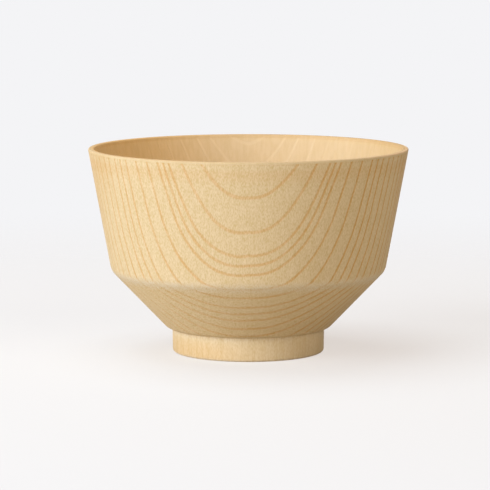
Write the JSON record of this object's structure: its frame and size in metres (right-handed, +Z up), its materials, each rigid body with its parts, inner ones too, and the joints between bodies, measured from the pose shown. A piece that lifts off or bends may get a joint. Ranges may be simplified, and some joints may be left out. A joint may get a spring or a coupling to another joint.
{
  "type": "soup bowl",
  "caption": "Round soup bowl with a flared wall, a rounded angular waist and a bonded foot ring, moulded in resin with a wood-grain finish.",
  "frame": {"origin": "middle of the circle that the foot ring stands on", "axes": "+Z up along the bowl's axis of turning, from the foot to the lip; -Y towards the viewer of the picture"},
  "size_m": [0.1098, 0.1098, 0.0704],
  "materials": {
    "bowl_finish": "satin wood-grain coat",
    "foot_finish": "satin wood-grain coat"
  },
  "bodies": {
    "root": {"bowl_body": "bowl_finish", "foot_ring": "foot_finish"}
  },
  "joints": []
}
